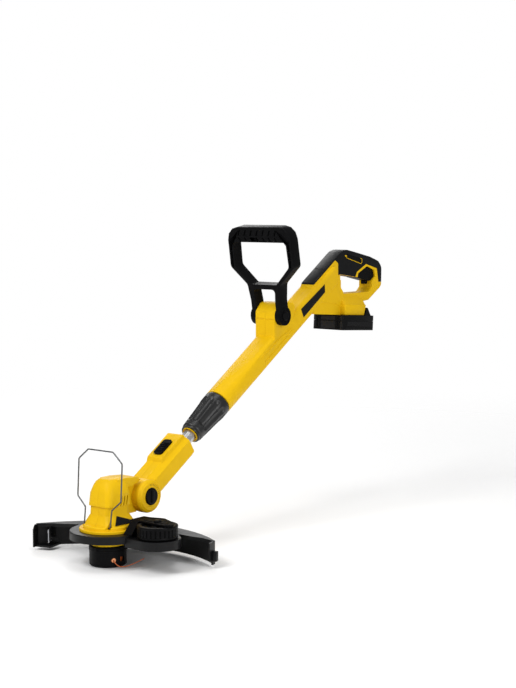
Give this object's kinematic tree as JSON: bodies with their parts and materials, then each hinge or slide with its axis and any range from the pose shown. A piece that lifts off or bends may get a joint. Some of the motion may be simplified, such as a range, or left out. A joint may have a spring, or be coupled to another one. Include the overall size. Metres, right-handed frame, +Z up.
{
  "type": "cordless string trimmer",
  "caption": "Telescopic battery string trimmer with a swivelling cutting head, line head, guard, edging wheel, flower guard, tilting front loop handle, trigger grip and slide-on battery.",
  "frame": {"origin": "centre of the line head's underside, on its axis of rotation", "axes": "+X back along the machine to the rear grip and battery, +Y to the side away from the edging wheel, +Z up along the line head's axis"},
  "size_m": [0.9639, 0.3837, 0.6265],
  "materials": {
    "handle_housing_left": "satin yellow moulding",
    "handle_housing_right": "satin yellow moulding",
    "grip_overmould": "soft matt black",
    "clamp_bush": "plain moulding",
    "handle_screw_1": "plain steel",
    "handle_screw_2": "plain steel",
    "handle_screw_3": "plain steel",
    "handle_screw_4": "plain steel",
    "switch": "plain moulding",
    "terminal_block": "plain moulding",
    "trigger_pin": "plain steel",
    "trigger_spring": "plain steel",
    "collar": "satin black moulding",
    "aux_handle": "satin black moulding",
    "handle_bolt": "plain steel",
    "handle_button": "satin black moulding",
    "trigger": "satin black moulding",
    "lock_off_button": "satin black moulding",
    "battery_case": "satin black moulding",
    "battery_cover": "satin black moulding",
    "cell_pack": "plain moulding",
    "battery_latch": "satin black moulding",
    "inner_tube": "satin tube",
    "tube_end_guide": "plain moulding",
    "motor_lead": "cable sheath",
    "neck_left": "satin yellow moulding",
    "neck_right": "satin yellow moulding",
    "swivel_bush": "plain moulding",
    "pivot_cap": "satin black moulding",
    "pivot_spring": "plain steel",
    "neck_button_spring": "plain steel",
    "neck_button": "satin black moulding",
    "pivot_button": "satin black moulding",
    "motor_housing_left": "satin yellow moulding",
    "motor_housing_right": "satin yellow moulding",
    "base_ring": "satin yellow moulding",
    "motor_can": "plain steel",
    "shaft_bearing": "plain steel",
    "guard": "satin black moulding",
    "wheel_bracket": "satin black moulding",
    "wheel_axle": "plain steel",
    "line_cutter_blade": "plain steel",
    "blade_screw": "plain steel",
    "guard_screw_near": "plain steel",
    "guard_screw_far": "plain steel",
    "head_label_plate": "plain black plate",
    "pivot_pin": "plain steel",
    "motor_shaft": "plain steel",
    "cooling_fan": "plain moulding",
    "spool_housing": "satin black moulding",
    "spool": "satin black moulding",
    "line_winding": "nylon line",
    "spool_spring": "plain steel",
    "spool_cap": "satin black moulding",
    "eyelet_near": "copper-coloured ring",
    "eyelet_far": "copper-coloured ring",
    "line_end": "nylon line",
    "edge_wheel": "satin black moulding",
    "flower_guard": "plain steel"
  },
  "bodies": {
    "handle_body": {"handle_housing_left": "handle_housing_left", "handle_housing_right": "handle_housing_right", "grip_overmould": "grip_overmould", "clamp_bush": "clamp_bush", "handle_screw_1": "handle_screw_1", "handle_screw_2": "handle_screw_2", "handle_screw_3": "handle_screw_3", "handle_screw_4": "handle_screw_4", "switch": "switch", "terminal_block": "terminal_block", "trigger_pin": "trigger_pin", "trigger_spring": "trigger_spring"},
    "collar": {"collar": "collar"},
    "aux_handle": {"aux_handle": "aux_handle", "handle_bolt": "handle_bolt"},
    "handle_button": {"handle_button": "handle_button"},
    "trigger": {"trigger": "trigger"},
    "lock_off_button": {"lock_off_button": "lock_off_button"},
    "battery": {"battery_case": "battery_case", "battery_cover": "battery_cover", "cell_pack": "cell_pack"},
    "battery_latch": {"battery_latch": "battery_latch"},
    "inner_tube": {"inner_tube": "inner_tube", "tube_end_guide": "tube_end_guide", "motor_lead": "motor_lead"},
    "neck": {"neck_left": "neck_left", "neck_right": "neck_right", "swivel_bush": "swivel_bush", "pivot_cap": "pivot_cap", "pivot_spring": "pivot_spring", "neck_button_spring": "neck_button_spring"},
    "neck_button": {"neck_button": "neck_button"},
    "pivot_button": {"pivot_button": "pivot_button"},
    "head": {"motor_housing_left": "motor_housing_left", "motor_housing_right": "motor_housing_right", "base_ring": "base_ring", "motor_can": "motor_can", "shaft_bearing": "shaft_bearing", "guard": "guard", "wheel_bracket": "wheel_bracket", "wheel_axle": "wheel_axle", "line_cutter_blade": "line_cutter_blade", "blade_screw": "blade_screw", "guard_screw_near": "guard_screw_near", "guard_screw_far": "guard_screw_far", "head_label_plate": "head_label_plate", "pivot_pin": "pivot_pin"},
    "line_head": {"motor_shaft": "motor_shaft", "cooling_fan": "cooling_fan", "spool_housing": "spool_housing", "spool": "spool", "line_winding": "line_winding", "spool_spring": "spool_spring", "spool_cap": "spool_cap", "eyelet_near": "eyelet_near", "eyelet_far": "eyelet_far", "line_end": "line_end"},
    "edge_wheel": {"edge_wheel": "edge_wheel"},
    "flower_guard": {"flower_guard": "flower_guard"}
  },
  "joints": [
    {"name": "telescope", "type": "slide", "parent": "handle_body", "child": "inner_tube", "axis": [-0.8434, 0, -0.5373], "range_m": [0, 0.35]},
    {"name": "collar_twist", "type": "hinge", "parent": "handle_body", "child": "collar", "pos_m": [0.085, 0, 0.119], "axis": [0.8434, 0, 0.5373], "range_deg": [0, 60]},
    {"name": "front_handle_tilt", "type": "hinge", "parent": "handle_body", "child": "aux_handle", "pos_m": [0.4993, 0, 0.4373], "axis": [0, -1, 0], "range_deg": [-30, 45]},
    {"name": "front_handle_button_press", "type": "slide", "parent": "aux_handle", "child": "handle_button", "axis": [0, 1, 0], "range_m": [0, 0.0025], "stiffness_N_per_m": 600, "springref_m": -0.002},
    {"name": "trigger_pull", "type": "hinge", "parent": "handle_body", "child": "trigger", "pos_m": [0.752, 0, 0.5215], "axis": [0, -1, 0], "range_deg": [0, 4.5], "stiffness_Nm_per_rad": 2, "springref_deg": -3.44},
    {"name": "lock_off_press", "type": "slide", "parent": "handle_body", "child": "lock_off_button", "axis": [0, 1, 0], "range_m": [0, 0.0025], "stiffness_N_per_m": 500, "springref_m": -0.002},
    {"name": "battery_slide", "type": "slide", "parent": "handle_body", "child": "battery", "axis": [0.9979, 0, -0.0645], "range_m": [0, 0.09]},
    {"name": "battery_latch_press", "type": "slide", "parent": "battery", "child": "battery_latch", "axis": [-0.0645, 0, -0.9979], "range_m": [0, 0.003], "stiffness_N_per_m": 800, "springref_m": -0.002},
    {"name": "tube_turn", "type": "hinge", "parent": "inner_tube", "child": "neck", "pos_m": [0.085, 0, 0.119], "axis": [0.8434, 0, 0.5373], "range_deg": [0, 90]},
    {"name": "neck_button_press", "type": "slide", "parent": "neck", "child": "neck_button", "axis": [0.5373, 0, -0.8434], "range_m": [0, 0.003], "stiffness_N_per_m": 800, "springref_m": -0.002},
    {"name": "pivot_button_press", "type": "slide", "parent": "neck", "child": "pivot_button", "axis": [0, 1, 0], "range_m": [0, 0.0035], "stiffness_N_per_m": 900, "springref_m": -0.002},
    {"name": "neck_pivot", "type": "hinge", "parent": "neck", "child": "head", "pos_m": [0.085, 0, 0.119], "axis": [0, 1, 0], "range_deg": [-20, 35]},
    {"name": "line_head_spin", "type": "hinge", "parent": "head", "child": "line_head", "pos_m": [0, 0, 0], "axis": [0, 0, 1], "continuous": true},
    {"name": "edge_wheel_turn", "type": "hinge", "parent": "head", "child": "edge_wheel", "pos_m": [0.015, -0.111, 0], "axis": [0, 0, 1], "continuous": true},
    {"name": "flower_guard_fold", "type": "hinge", "parent": "head", "child": "flower_guard", "pos_m": [-0.028, 0, 0.0757], "axis": [0, -1, 0], "range_deg": [0, 88]}
  ]
}
